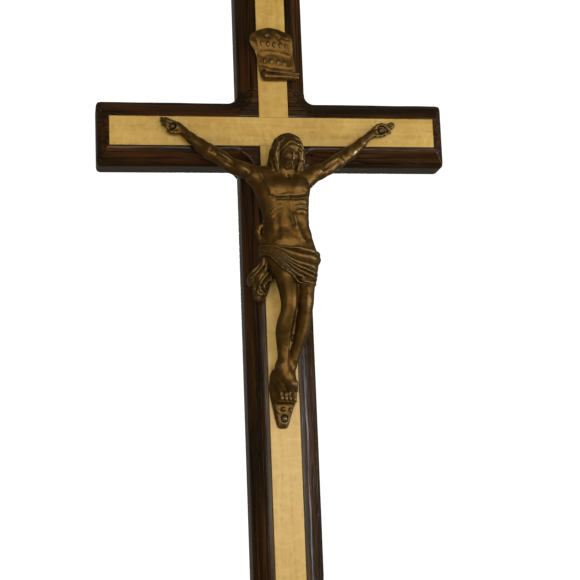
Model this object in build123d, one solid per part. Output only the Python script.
from build123d import *
import os
from math import cos, pi, radians, sin

# A wooden Latin cross on a staff socket, with a cast bronze corpus and title scroll.
# Millimetres. +Z is up and the front faces -Y. The origin is the centre of the
# staff socket's mouth, at the middle of the upright's foot.

# ---- driving dimensions: wood -------------------------------------------------
HEIGHT = 560.0             # foot to top of the upright
CROSSING_Z = 412.0         # height of the crossbar's centre line
SPAN = 298.0               # length of the crossbar
UPRIGHT_WIDTH = 58.0
CROSSBAR_HEIGHT = 56.0
THICKNESS = 32.0           # of both boards; the half-lap divides it in two
BEVEL_WIDTH = 12.25        # front bevel along the edges, measured across the face
BEVEL_DEPTH = 9.4          # and how far back it reaches
END_BEVEL_WIDTH = 8.0      # the same on the end grain
INNER_RADIUS = 8.5         # rounded inner corners of the crossing
END_RADIUS = 3.0           # worn corners of the ends
EDGE_EASE = 1.0            # rounding of the back edges

# ---- driving dimensions: inlay ------------------------------------------------
INLAY_WIDTH = 25.0
INLAY_THICKNESS = 3.6
GROOVE_DEPTH = 3.0         # so the strips stand a little proud of the wood
INLAY_MARGIN = 10.5        # bare wood beyond the strips' ends
INLAY_EASE = 0.5

# ---- driving dimensions: metal on the front -----------------------------------
SHANK_RADIUS = 0.9         # nails of the hands and the scroll
HEAD_RADIUS = 2.2
FOOT_SHANK_RADIUS = 1.2
FOOT_HEAD_RADIUS = 2.8
NAIL_LENGTH = 17.0
HOLE_PLAY = 0.06           # radial, around every shank
PALM_THICKNESS = 5.0
TAB_THICKNESS = 2.2
SCROLL_THICKNESS = 1.3

# ---- driving dimensions: staff socket and its clamp ---------------------------
BORE_RADIUS = 8.0
SLEEVE_WALL = 1.5
SLEEVE_LENGTH = 70.0
FLANGE_RADIUS = 14.0
FLANGE_THICKNESS = 2.0
FLANGE_SCREWS = 3
FLANGE_SCREW_CIRCLE = 11.75
FLANGE_SCREW_RADIUS = 0.9
FLANGE_SCREW_HEAD = 1.7
FLANGE_SCREW_LENGTH = 12.0
CLAMP_Z = 36.0             # height of the thumb screw
STEM_RADIUS = 3.0
STEM_PLAY = 0.05           # running clearance in the threaded insert
STEM_TRAVEL = 2.5
STEM_TIP_GAP = 0.35        # tip to bore wall when backed off
INSERT_RADIUS = 5.0
INSERT_FLANGE_RADIUS = 7.5
INSERT_FLANGE = 1.2
KNOB_RADIUS = 9.0
KNOB_THICKNESS = 7.0
KNOB_COLLAR_RADIUS = 5.0
KNOB_COLLAR = 3.0
KNOB_FLUTES = 16
FLUTE_RADIUS = 1.1

# ---- worked out from them -----------------------------------------------------
FRONT = -THICKNESS / 2
BACK = THICKNESS / 2
INLAY_FACE = FRONT + GROOVE_DEPTH - INLAY_THICKNESS
SLEEVE_RADIUS = BORE_RADIUS + SLEEVE_WALL
LAP_HALF = CROSSBAR_HEIGHT / 2 + INNER_RADIUS
CORNER_X = UPRIGHT_WIDTH / 2 + INNER_RADIUS
BIG = 2000.0


# ---- small builders -----------------------------------------------------------
def block(low, high):
    """A box between two opposite corners."""
    size = [b - a for a, b in zip(low, high)]
    centre = [(a + b) / 2 for a, b in zip(low, high)]
    return Pos(*centre) * Box(*size)


def rod(start, direction, radius, length):
    """A round bar from a point along a direction."""
    plane = Plane(origin=start, z_dir=direction)
    return extrude(plane * Circle(radius), amount=length)


def turned(start, direction, outline):
    """A solid of revolution; the outline is (radius, height) points along the direction."""
    profile = make_face(Polyline([(r, 0, h) for r, h in outline], close=True))
    return Plane(origin=start, z_dir=direction) * revolve(profile, Axis.Z)


def bevel_wedge(edge, width, inward):
    """The slice that a bevel removes, as a face in (across, Y), seen along the board.

    edge is where the outer arris lies; inward is the sign from the edge to the middle.
    """
    slope = BEVEL_DEPTH / width
    reach = 4.0
    inner = (edge + inward * (width + reach), FRONT - reach * slope)
    outer = (edge - inward * reach, FRONT + BEVEL_DEPTH + reach * slope)
    clear = (edge - inward * reach, FRONT - reach * slope)
    return [inner, outer, clear]


def prism_x(points, start, end):
    """Extrude an outline given in (Z, Y) along X."""
    face = make_face(Polyline([(start, y, z) for z, y in points], close=True))
    return extrude(face, amount=end - start, dir=(1, 0, 0))


def prism_z(points, start, end):
    """Extrude an outline given in (X, Y) along Z."""
    face = make_face(Polyline([(x, y, start) for x, y in points], close=True))
    return extrude(face, amount=end - start, dir=(0, 0, 1))


def across_edges(solid, low_x, high_x, low_z, high_z):
    """The edges parallel to Y that stand within a window of the front view."""
    edges = solid.edges().filter_by(Axis.Y)
    return [e for e in edges
            if low_x <= e.center().X <= high_x and low_z <= e.center().Z <= high_z]


def back_edges(solid, keep):
    """The edges of the back face for which keep(x, z) of their middle is true."""
    edges = solid.edges().filter_by_position(Axis.Y, BACK - 0.01, BACK + 0.01)
    return [e for e in edges if keep(e.center().X, e.center().Z)]


# ---- nails: place, direction and size -----------------------------------------
INTO_WOOD = (0, 1, 0)
NAILS = {
    "left_hand_nail": dict(x=-86.4, z=2.3, stand=PALM_THICKNESS, shank=SHANK_RADIUS,
                           head=HEAD_RADIUS),
    "right_hand_nail": dict(x=91.5, z=0.5, stand=PALM_THICKNESS, shank=SHANK_RADIUS,
                            head=HEAD_RADIUS),
    "foot_nail": dict(x=-1.2, z=-243.0, stand=TAB_THICKNESS, shank=FOOT_SHANK_RADIUS,
                      head=FOOT_HEAD_RADIUS),
    "scroll_nail": dict(x=-4.4, z=83.7, stand=5.2, shank=SHANK_RADIUS, head=HEAD_RADIUS),
}


def nail_hole(name):
    """A clearance bar through everything that the nail's shank passes."""
    nail = NAILS[name]
    start = (nail["x"], INLAY_FACE - 30, CROSSING_Z + nail["z"])
    return rod(start, INTO_WOOD, nail["shank"] + HOLE_PLAY, 60)


def nail_bit(name):
    """The blind hole that the nail leaves in the wood and the inlay."""
    nail = NAILS[name]
    depth = NAIL_LENGTH - nail["stand"] + 0.5
    start = (nail["x"], INLAY_FACE - 1, CROSSING_Z + nail["z"])
    return rod(start, INTO_WOOD, nail["shank"] + HOLE_PLAY, depth + 1)


def make_nail(name):
    """A domed nail, its head resting on what it holds."""
    nail = NAILS[name]
    shank, head = nail["shank"], nail["head"]
    seat = INLAY_FACE - nail["stand"]
    outline = [(0, 0)]
    steps = 6
    crown = head * 0.55
    for i in range(1, steps + 1):
        angle = radians(90) * i / steps
        outline.append((head * sin(angle), crown * (1 - cos(angle))))
    outline += [(head, crown + 0.3), (shank, crown + 0.3)]
    tip = crown + 0.3 + NAIL_LENGTH
    outline += [(shank, tip - 3 * shank), (0, tip)]
    start = (nail["x"], seat - crown - 0.3, CROSSING_Z + nail["z"])
    return turned(start, INTO_WOOD, outline)


# ---- wood ---------------------------------------------------------------------
def inner_cones():
    """The bevel carried round the four inner corners: one cone at each corner's centre."""
    slope = BEVEL_DEPTH / BEVEL_WIDTH
    extra = 3.0
    apex = FRONT + BEVEL_DEPTH + INNER_RADIUS * slope
    base = FRONT - extra
    radius = INNER_RADIUS + BEVEL_WIDTH + extra / slope
    cones = []
    for sx in (-1, 1):
        for sz in (-1, 1):
            start = (sx * CORNER_X, base, CROSSING_Z + sz * LAP_HALF)
            cones.append(turned(start, INTO_WOOD, [(0, 0), (radius, 0), (0, apex - base)]))
    return cones


def make_upright():
    half = UPRIGHT_WIDTH / 2
    board = block((-half, FRONT, 0), (half, BACK, HEIGHT))
    board = fillet(across_edges(board, -BIG, BIG, HEIGHT - 1, HEIGHT + 1), END_RADIUS)
    board = fillet(back_edges(board, lambda x, z: z > 1), EDGE_EASE)
    for side in (-1, 1):
        wedge = bevel_wedge(side * half, BEVEL_WIDTH, -side)
        board -= prism_z(wedge, -5, CROSSING_Z - LAP_HALF)
        board -= prism_z(wedge, CROSSING_Z + LAP_HALF, HEIGHT + 5)
    board -= prism_x(bevel_wedge(HEIGHT, END_BEVEL_WIDTH, -1), -half - 5, half + 5)
    # housing for the crossbar, in the front half
    board -= block((-half - 1, FRONT - 1, CROSSING_Z - LAP_HALF),
                   (half + 1, 0, CROSSING_Z + LAP_HALF))
    # grooves for the two strips
    groove = INLAY_WIDTH / 2
    board -= block((-groove, FRONT - 1, INLAY_MARGIN),
                   (groove, FRONT + GROOVE_DEPTH, CROSSING_Z))
    board -= block((-groove, FRONT - 1, CROSSING_Z),
                   (groove, FRONT + GROOVE_DEPTH, HEIGHT - INLAY_MARGIN))
    # socket, its flange and screws
    board -= rod((0, 0, -1), (0, 0, 1), SLEEVE_RADIUS, SLEEVE_LENGTH + 1)
    board -= rod((0, 0, -1), (0, 0, 1), FLANGE_RADIUS, FLANGE_THICKNESS + 1)
    for x, y in flange_screw_places():
        board -= rod((x, y, -1), (0, 0, 1), FLANGE_SCREW_RADIUS + HOLE_PLAY,
                     FLANGE_SCREW_LENGTH + 2)
    # threaded insert for the clamp
    board -= rod((0, BACK + 1, CLAMP_Z), (0, -1, 0), INSERT_RADIUS, BACK + 1)
    board -= rod((0, BACK + 1, CLAMP_Z), (0, -1, 0), INSERT_FLANGE_RADIUS, INSERT_FLANGE + 1)
    for name in ("foot_nail", "scroll_nail"):
        board -= nail_bit(name)
    return board.solid()


def make_crossbar():
    half = CROSSBAR_HEIGHT / 2
    end = SPAN / 2
    low, high = CROSSING_Z - half, CROSSING_Z + half
    board = block((-end, FRONT, low), (end, BACK, high))
    board = fillet(across_edges(board, -BIG, BIG, -BIG, BIG), END_RADIUS)
    # the wider middle of the blank, with its rounded corners
    middle = block((-CORNER_X, FRONT, CROSSING_Z - LAP_HALF), (CORNER_X, BACK, CROSSING_Z + LAP_HALF))
    for sx in (-1, 1):
        for sz in (-1, 1):
            start = (sx * CORNER_X, FRONT - 1, CROSSING_Z + sz * LAP_HALF)
            middle -= rod(start, INTO_WOOD, INNER_RADIUS, THICKNESS + 2)
    board += middle
    for side in (-1, 1):
        wedge = bevel_wedge(CROSSING_Z + side * half, BEVEL_WIDTH, -side)
        board -= prism_x(wedge, -end - 5, -CORNER_X)
        board -= prism_x(wedge, CORNER_X, end + 5)
        board -= prism_z(bevel_wedge(side * end, END_BEVEL_WIDTH, -side), low - 5, high + 5)
    for cone in inner_cones():
        board -= cone
    # notch for the upright, in the back half
    notch = UPRIGHT_WIDTH / 2
    board -= block((-notch, 0, CROSSING_Z - LAP_HALF - 1), (notch, BACK + 1, CROSSING_Z + LAP_HALF + 1))
    # grooves for the strips
    groove = INLAY_WIDTH / 2
    floor = FRONT + GROOVE_DEPTH
    board -= block((-end + INLAY_MARGIN, FRONT - 1, CROSSING_Z - groove),
                   (end - INLAY_MARGIN, floor, CROSSING_Z + groove))
    board -= block((-groove, FRONT - 1, CROSSING_Z - LAP_HALF - 1),
                   (groove, floor, CROSSING_Z + LAP_HALF + 1))
    for name in ("left_hand_nail", "right_hand_nail"):
        board -= nail_bit(name)
    return board.solid()


def make_strip(low, high, nails):
    """An inlay strip with eased front edges, drilled for its nails."""
    strip = block((low[0], INLAY_FACE, low[1]), (high[0], INLAY_FACE + INLAY_THICKNESS, high[1]))
    front = strip.faces().sort_by(Axis.Y)[0]
    strip = fillet(front.edges(), INLAY_EASE)
    for name in nails:
        strip -= nail_bit(name)
    return strip.solid()


def make_strips():
    half = INLAY_WIDTH / 2
    end = SPAN / 2 - INLAY_MARGIN
    low, high = CROSSING_Z - half, CROSSING_Z + half
    return {
        "crossbar_inlay": make_strip((-end, low), (end, high),
                                     ("left_hand_nail", "right_hand_nail")),
        "upper_inlay": make_strip((-half, high), (half, HEIGHT - INLAY_MARGIN),
                                  ("scroll_nail",)),
        "lower_inlay": make_strip((-half, INLAY_MARGIN), (half, low), ("foot_nail",)),
    }


# ---- staff socket and clamp ---------------------------------------------------
def flange_screw_places():
    angles = [radians(90 + 60 + 360 * i / FLANGE_SCREWS) for i in range(FLANGE_SCREWS)]
    return [(FLANGE_SCREW_CIRCLE * cos(a), FLANGE_SCREW_CIRCLE * sin(a)) for a in angles]


def countersink(x, y, play):
    """A countersunk screw head's cone, pointing up into the flange."""
    depth = FLANGE_SCREW_HEAD - FLANGE_SCREW_RADIUS
    outline = [(0, 0), (FLANGE_SCREW_HEAD + play, 0), (FLANGE_SCREW_RADIUS + play, depth), (0, depth)]
    return turned((x, y, 0), (0, 0, 1), outline)


def make_socket():
    sleeve = rod((0, 0, 0), (0, 0, 1), SLEEVE_RADIUS, SLEEVE_LENGTH)
    sleeve += rod((0, 0, 0), (0, 0, 1), FLANGE_RADIUS, FLANGE_THICKNESS)
    sleeve -= rod((0, 0, -1), (0, 0, 1), BORE_RADIUS, SLEEVE_LENGTH + 2)
    for x, y in flange_screw_places():
        sleeve -= rod((x, y, -1), (0, 0, 1), FLANGE_SCREW_RADIUS + HOLE_PLAY, FLANGE_THICKNESS + 2)
        sleeve -= countersink(x, y, HOLE_PLAY)
    sleeve -= rod((0, 0, CLAMP_Z), (0, 1, 0), STEM_RADIUS + 0.3, 20)
    return sleeve.solid()


def make_socket_screws():
    screws = []
    for x, y in flange_screw_places():
        shank = rod((x, y, 0.2), (0, 0, 1), FLANGE_SCREW_RADIUS, FLANGE_SCREW_LENGTH - 0.2)
        screw = shank + countersink(x, y, 0)
        slot = 0.5
        screw -= block((x - 3, y - slot / 2, -1), (x + 3, y + slot / 2, 0.4))
        screws.append(screw.solid())
    return Compound(children=screws)


def make_insert():
    """The threaded insert, flush with the back, seated against the sleeve's far side."""
    inner = SLEEVE_RADIUS + 0.7
    insert = rod((0, inner, CLAMP_Z), (0, 1, 0), INSERT_RADIUS, BACK - inner)
    insert += rod((0, BACK - INSERT_FLANGE, CLAMP_Z), (0, 1, 0), INSERT_FLANGE_RADIUS, INSERT_FLANGE)
    insert -= rod((0, 0, CLAMP_Z), (0, 1, 0), STEM_RADIUS + STEM_PLAY, BACK + 5)
    return insert.solid()


def make_clamp_stem():
    """The screw's stem, from just outside the bore to inside the knob."""
    tip = BORE_RADIUS + STEM_TIP_GAP
    knob_face = BACK + STEM_TRAVEL + 0.5
    end = knob_face + KNOB_COLLAR + KNOB_THICKNESS - 1.5
    outline = [(0, 0), (STEM_RADIUS - 0.8, 0), (STEM_RADIUS, 0.8), (STEM_RADIUS, end - tip), (0, end - tip)]
    return turned((0, tip, CLAMP_Z), (0, 1, 0), outline).solid()


def make_clamp_knob():
    """The fluted knob, on a round collar, that turns the stem."""
    face = BACK + STEM_TRAVEL + 0.5
    end = face + KNOB_COLLAR + KNOB_THICKNESS
    outline = [
        (0, 0), (KNOB_COLLAR_RADIUS, 0), (KNOB_COLLAR_RADIUS, KNOB_COLLAR),
        (KNOB_RADIUS - 0.8, KNOB_COLLAR), (KNOB_RADIUS, KNOB_COLLAR + 0.8),
        (KNOB_RADIUS, KNOB_COLLAR + KNOB_THICKNESS - 1.2),
        (KNOB_RADIUS - 1.2, KNOB_COLLAR + KNOB_THICKNESS), (0, KNOB_COLLAR + KNOB_THICKNESS),
    ]
    knob = turned((0, face, CLAMP_Z), (0, 1, 0), outline)
    for i in range(KNOB_FLUTES):
        angle = 2 * pi * i / KNOB_FLUTES
        x = (KNOB_RADIUS + 0.35) * cos(angle)
        z = CLAMP_Z + (KNOB_RADIUS + 0.35) * sin(angle)
        knob -= rod((x, face + KNOB_COLLAR - 1, z), (0, 1, 0), FLUTE_RADIUS, KNOB_THICKNESS + 2)
    knob -= rod((0, face - 1, CLAMP_Z), (0, 1, 0), STEM_RADIUS + STEM_PLAY, end - 1.5 - face + 1.05)
    return knob.solid()


# ---- bronze: the corpus -------------------------------------------------------
# Stations are (x, stand, z, width, depth): the middle of a section, its distance in
# front of the inlay, its height from the crossing, and its half width and half depth.
def section(station, normal):
    x, stand, z, wide, deep = station
    plane = Plane(origin=(x, INLAY_FACE - stand, CROSSING_Z + z), x_dir=(-normal[2], 0, normal[0]),
                  z_dir=normal)
    return plane * Ellipse(wide, deep)


def limb(stations, normal):
    """A smooth body through elliptical sections whose planes share one normal."""
    return loft([section(s, normal) for s in stations])


ARM_LEFT = [(-93.0, 4.5, 6.5, 3.2, 2.6), (-86.5, 3.0, 1.5, 5.2, 2.6), (-79.0, 4.0, -5.0, 3.4, 3.0),
            (-72.0, 6.5, -10.3, 4.9, 4.2), (-64.6, 9.0, -16.7, 5.9, 5.2), (-56.5, 11.5, -22.3, 6.3, 5.8),
            (-48.0, 13.0, -27.4, 5.6, 5.6), (-36.5, 14.5, -35.8, 6.3, 6.4), (-24.0, 16.0, -43.5, 8.2, 8.0),
            (-10.0, 17.0, -48.0, 9.0, 9.0)]
ARM_RIGHT = [(98.5, 4.5, 4.5, 3.2, 2.6), (91.5, 3.0, -0.5, 5.2, 2.6), (83.0, 4.0, -5.5, 3.4, 3.0),
             (72.0, 6.5, -13.0, 4.2, 3.9), (61.4, 9.5, -22.0, 5.9, 5.4), (51.0, 12.0, -29.3, 6.1, 5.8),
             (42.4, 13.5, -35.5, 5.8, 5.8), (34.0, 14.5, -40.3, 6.5, 6.6), (24.0, 16.0, -46.0, 8.2, 8.0),
             (10.0, 17.0, -50.0, 9.0, 9.0)]
TRUNK = [(1.0, 18.0, -38.0, 9.0, 6.5), (0.5, 17.5, -46.0, 19.0, 9.5), (0.0, 17.5, -57.0, 20.5, 11.5),
         (0.5, 17.5, -70.0, 18.8, 12.0), (1.5, 17.0, -84.0, 17.4, 10.5), (2.5, 16.5, -97.0, 19.0, 11.0),
         (3.5, 17.0, -110.0, 22.0, 12.5)]
CLOTH = [(3.0, 17.0, -103.0, 21.5, 12.5), (4.5, 17.5, -114.0, 25.0, 14.0), (5.5, 18.5, -126.0, 22.5, 14.5),
         (7.5, 20.0, -138.0, 16.5, 13.0)]
DRAPE = [(-18.0, 15.0, -88.0, 4.5, 4.5), (-17.0, 15.0, -104.0, 7.0, 6.0), (-19.0, 15.0, -120.0, 8.5, 6.5),
         (-20.5, 14.5, -134.0, 8.0, 5.5), (-20.0, 14.0, -149.0, 4.5, 4.0)]
LEG_LEFT = [(-4.0, 18.0, -118.0, 10.5, 10.5), (0.0, 21.5, -134.0, 9.0, 9.5), (2.4, 25.5, -148.0, 7.2, 8.0),
            (1.2, 24.5, -160.0, 6.8, 7.0), (-3.4, 20.0, -175.0, 6.4, 6.6), (-4.0, 16.0, -190.0, 4.6, 4.8),
            (-4.4, 13.0, -204.0, 4.8, 4.8), (-6.0, 12.5, -216.0, 6.6, 5.6), (-4.0, 12.5, -229.0, 5.5, 4.4)]
LEG_RIGHT = [(13.0, 18.0, -118.0, 11.5, 10.5), (16.5, 21.5, -134.0, 9.2, 9.5), (16.4, 25.0, -148.0, 6.8, 7.8),
             (15.0, 23.5, -162.0, 6.0, 6.6), (12.2, 19.5, -177.0, 6.0, 6.2), (7.0, 15.5, -192.0, 4.7, 4.9),
             (3.2, 14.5, -205.0, 4.6, 4.8), (1.6, 16.0, -217.0, 5.8, 5.4), (1.4, 14.0, -228.5, 5.6, 4.2)]
DOWN = (0, 0, -1)
ARM_SLOPE = radians(35)


def ellipsoid(x, stand, z, size, tilt):
    """An ellipsoid with half axes size, tilted about the front-to-back axis."""
    ball = scale(Sphere(1), by=size)
    return Pos(x, INLAY_FACE - stand, CROSSING_Z + z) * Rot(0, tilt, 0) * ball


def make_tab():
    """The footrest and the tapering tab that the foot nail holds."""
    middle, top, bottom = -1.3, -231.0, -251.0
    wide, narrow, round_off = 7.6, 4.6, 2.2
    outline = [(middle - wide, top), (middle + wide, top), (middle + narrow, bottom), (middle - narrow, bottom)]
    face = make_face(Polyline([(x, INLAY_FACE, CROSSING_Z + z) for x, z in outline], close=True))
    tab = extrude(face, amount=TAB_THICKNESS, dir=(0, -1, 0))
    lower = [e for e in tab.edges().filter_by(Axis.Y) if e.center().Z < CROSSING_Z + bottom + 1]
    tab = fillet(lower, round_off)
    rest = block((-10.6, INLAY_FACE - 15.0, CROSSING_Z - 234.0), (7.8, INLAY_FACE, CROSSING_Z - 228.0))
    return tab + fillet(rest.edges().filter_by(Axis.Y), 1.5)


def make_corpus():
    arm_left = limb(ARM_LEFT, (cos(ARM_SLOPE), 0, -sin(ARM_SLOPE)))
    arm_right = limb(ARM_RIGHT, (-cos(ARM_SLOPE), 0, -sin(ARM_SLOPE)))
    figure = limb(TRUNK, DOWN)
    pieces = [arm_left, arm_right, limb(CLOTH, DOWN), limb(LEG_LEFT, DOWN), limb(LEG_RIGHT, DOWN),
              limb(DRAPE, DOWN), make_tab(),
              ellipsoid(4.5, 21.0, -36.0, (7.0, 7.0, 9.0), -6),
              ellipsoid(5.5, 25.5, -24.5, (13.2, 13.5, 14.6), 8),
              ellipsoid(-5.5, 21.0, -34.0, (4.6, 6.0, 11.0), 16),
              ellipsoid(16.0, 21.5, -34.5, (4.4, 6.0, 10.5), -12)]
    for piece in pieces:
        figure += piece
    figure -= block((-BIG, INLAY_FACE, -BIG), (BIG, INLAY_FACE + 60, BIG))
    for name in ("left_hand_nail", "right_hand_nail", "foot_nail"):
        nail = NAILS[name]
        figure -= nail_hole(name)
        # a flat seat under the nail's head
        start = (nail["x"], INLAY_FACE - nail["stand"], CROSSING_Z + nail["z"])
        figure -= rod(start, (0, -1, 0), nail["head"] + 0.4, 20)
    return figure.solids().sort_by(SortBy.VOLUME)[-1]


# ---- bronze: the title scroll -------------------------------------------------
def make_scroll():
    """A sheet that bows off the wood, with a rolled foot; seen along its own width."""
    # the sheet's front line as (stand, height) in its own frame, top to bottom
    line = [(1.4, 22.0), (4.2, 17.0), (5.0, 9.0), (4.0, 0.0), (2.6, -9.0), (2.4, -15.0)]
    back = [(s - SCROLL_THICKNESS, h) for s, h in reversed(line)]
    top = Spline([(0, -s, h) for s, h in line])
    under = Spline([(0, -s, h) for s, h in back])
    side = make_face(Wire([top, Line(top @ 1, under @ 0), under, Line(under @ 1, top @ 0)]))
    sheet = extrude(side, amount=18.5, dir=(1, 0, 0), both=True)
    # its outline in the front view: an arched top, a waist, a wider foot
    arch = [(-18.0, 10.0), (-17.4, 15.5), (-11.0, 20.3), (-2.0, 22.0), (8.0, 20.5), (15.0, 14.0),
            (15.6, 5.0), (14.8, -6.0), (16.5, -15.5), (-15.0, -15.5), (-14.2, -6.0), (-15.0, 3.0)]
    outline = make_face(Spline([(x, -30, z) for x, z in arch], periodic=True))
    sheet = sheet & extrude(outline, amount=60, dir=(0, 1, 0))
    roll = rod((-15.5, -2.6, -17.0), (1, 0, 0), 2.5, 34.0)
    body = sheet + fillet(roll.edges(), 0.8)
    body = Pos(1.3, INLAY_FACE, CROSSING_Z + 66.5) * Rot(0, 9, 0) * body
    body -= block((-BIG, INLAY_FACE, -BIG), (BIG, INLAY_FACE + 60, BIG))
    body -= nail_hole("scroll_nail")
    nail = NAILS["scroll_nail"]
    start = (nail["x"], INLAY_FACE - nail["stand"], CROSSING_Z + nail["z"])
    body -= rod(start, (0, -1, 0), nail["head"] + 0.3, 20)
    return body.solids().sort_by(SortBy.VOLUME)[-1]


# ---- write one file per piece -------------------------------------------------
os.makedirs("parts", exist_ok=True)
nodes = {
    "upright": make_upright(),
    "crossbar": make_crossbar(),
    **make_strips(),
    "corpus": make_corpus(),
    "title_scroll": make_scroll(),
    **{name: make_nail(name).solid() for name in NAILS},
    "staff_socket": make_socket(),
    "socket_screws": make_socket_screws(),
    "clamp_insert": make_insert(),
    "clamp_stem": make_clamp_stem(),
    "clamp_knob": make_clamp_knob(),
}
for name, shape in nodes.items():
    export_step(shape, f"parts/{name}.step")
